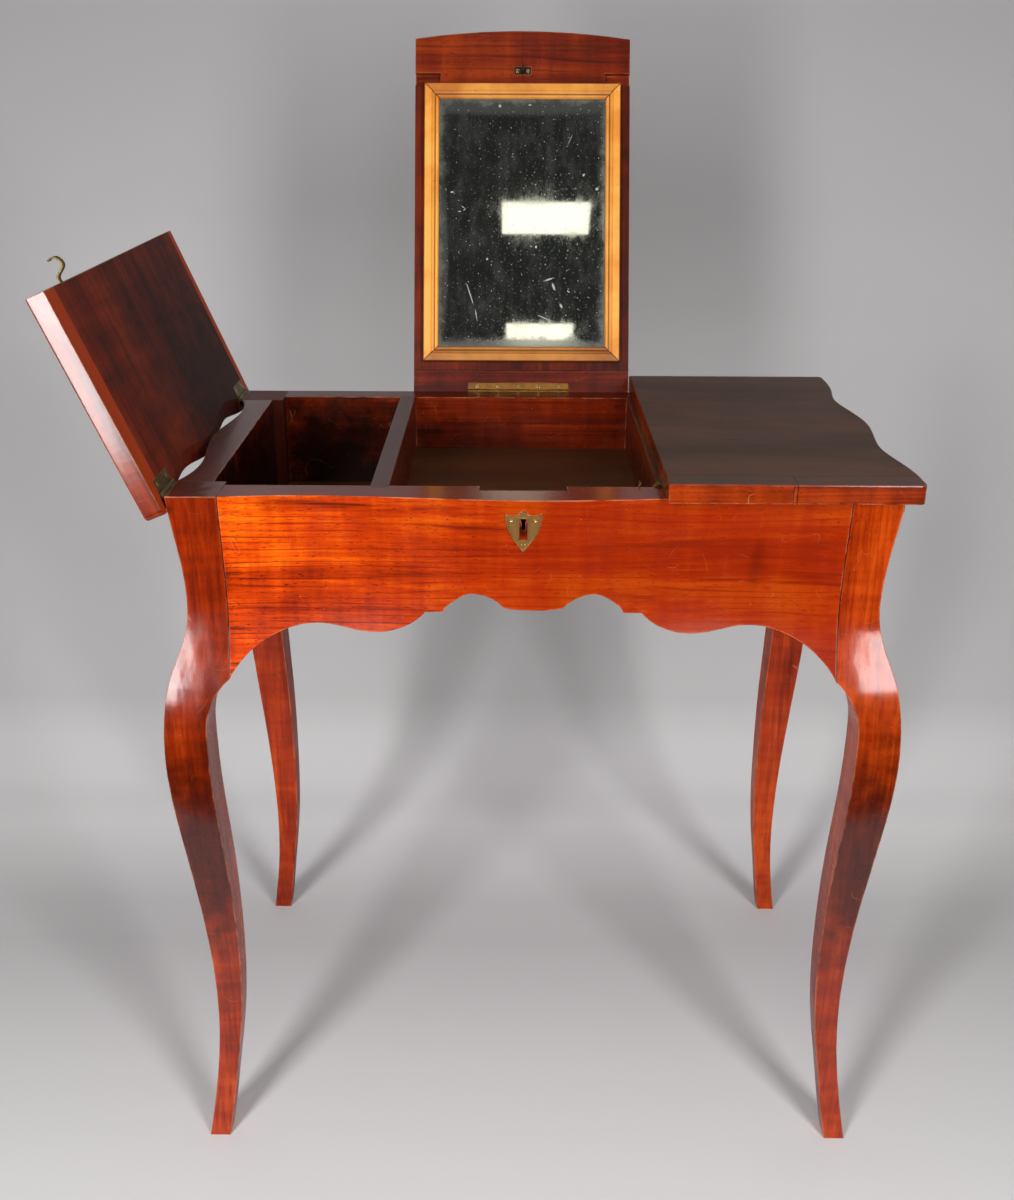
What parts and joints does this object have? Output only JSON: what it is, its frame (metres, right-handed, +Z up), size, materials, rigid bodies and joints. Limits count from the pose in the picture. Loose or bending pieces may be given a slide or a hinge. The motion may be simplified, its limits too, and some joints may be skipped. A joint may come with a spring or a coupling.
{
  "type": "poudreuse dressing table",
  "caption": "Louis XV style poudreuse: serpentine case on cabriole legs, two side lids over deep wells, and a centre panel with a looking-glass over a shallow tray.",
  "frame": {"origin": "on the floor, under the middle of the bounding box of the table with the left lid and the looking-glass panel open", "axes": "+X to the right of someone sitting at the table, -Y towards the sitter, +Z up"},
  "size_m": [0.7782, 0.609, 1.1251],
  "materials": {
    "polished_wood": "wax-polished red-brown fruitwood",
    "inner_wood": "darkened unpolished wood",
    "gilt_moulding": "honey-coloured satin moulding",
    "looking_glass": "old foxed silvering",
    "brass": "aged brass",
    "iron": "dark wrought iron"
  },
  "bodies": {
    "case": {"front_left_leg": "polished_wood", "front_right_leg": "polished_wood", "rear_left_leg": "polished_wood", "rear_right_leg": "polished_wood", "left_apron": "polished_wood", "right_apron": "polished_wood", "front_apron": "polished_wood", "rear_apron": "polished_wood", "left_partition": "inner_wood", "right_partition": "inner_wood", "tray_floor": "inner_wood", "left_well_floor": "inner_wood", "right_well_floor": "inner_wood", "lock_case": "iron", "lock_screws": "brass", "keyhole_shield": "brass", "keyhole_shield_nails": "brass", "right_front_hinge_case_leaf": "brass", "left_front_hinge_case_leaf": "brass", "right_front_hinge_pin": "brass", "left_front_hinge_pin": "brass", "right_rear_hinge_case_leaf": "brass", "left_rear_hinge_case_leaf": "brass", "right_rear_hinge_pin": "brass", "left_rear_hinge_pin": "brass", "mirror_hinge_case_leaf": "brass", "mirror_hinge_pin": "brass", "case_hinge_screws": "brass"},
    "left_lid": {"left_lid_front_edging": "polished_wood", "left_lid_board": "polished_wood", "left_lid_rear_edging": "polished_wood", "left_lid_hook": "brass", "left_front_hinge_lid_leaf": "brass", "left_rear_hinge_lid_leaf": "brass", "left_lid_screws": "brass"},
    "right_lid": {"right_lid_board": "polished_wood", "right_lid_rear_edging": "polished_wood", "right_lid_hook": "brass", "right_front_hinge_lid_leaf": "brass", "right_rear_hinge_lid_leaf": "brass", "right_lid_screws": "brass", "right_lid_front_edging_inner": "polished_wood", "right_lid_front_edging_outer": "polished_wood"},
    "looking_glass_panel": {"mirror_head_rail": "polished_wood", "mirror_board": "polished_wood", "mirror_foot_rail": "polished_wood", "mirror_glass": "looking_glass", "mirror_hinge_panel_leaf": "brass", "lock_striker": "brass", "mirror_moulding_head": "gilt_moulding", "mirror_moulding_foot": "gilt_moulding", "mirror_moulding_left": "gilt_moulding", "mirror_moulding_right": "gilt_moulding", "mirror_panel_screws": "brass"},
    "lock_bolt": {"lock_bolt": "iron"}
  },
  "joints": [
    {"name": "left_lid_hinge", "type": "hinge", "parent": "case", "child": "left_lid", "pos_m": [-0.2974, -0.0815, 0.73], "axis": [0, 1, 0], "range_deg": [0, 112.5]},
    {"name": "right_lid_hinge", "type": "hinge", "parent": "case", "child": "right_lid", "pos_m": [0.3736, -0.0815, 0.73], "axis": [0, 1, 0], "range_deg": [0, 112.5]},
    {"name": "looking_glass_panel_hinge", "type": "hinge", "parent": "case", "child": "looking_glass_panel", "pos_m": [0.0246, 0.1247, 0.73], "axis": [1, 0, 0], "range_deg": [0, 112.5]},
    {"name": "lock_bolt_slide", "type": "slide", "parent": "case", "child": "lock_bolt", "axis": [1, 0, 0], "range_m": [0, 0.007]}
  ]
}
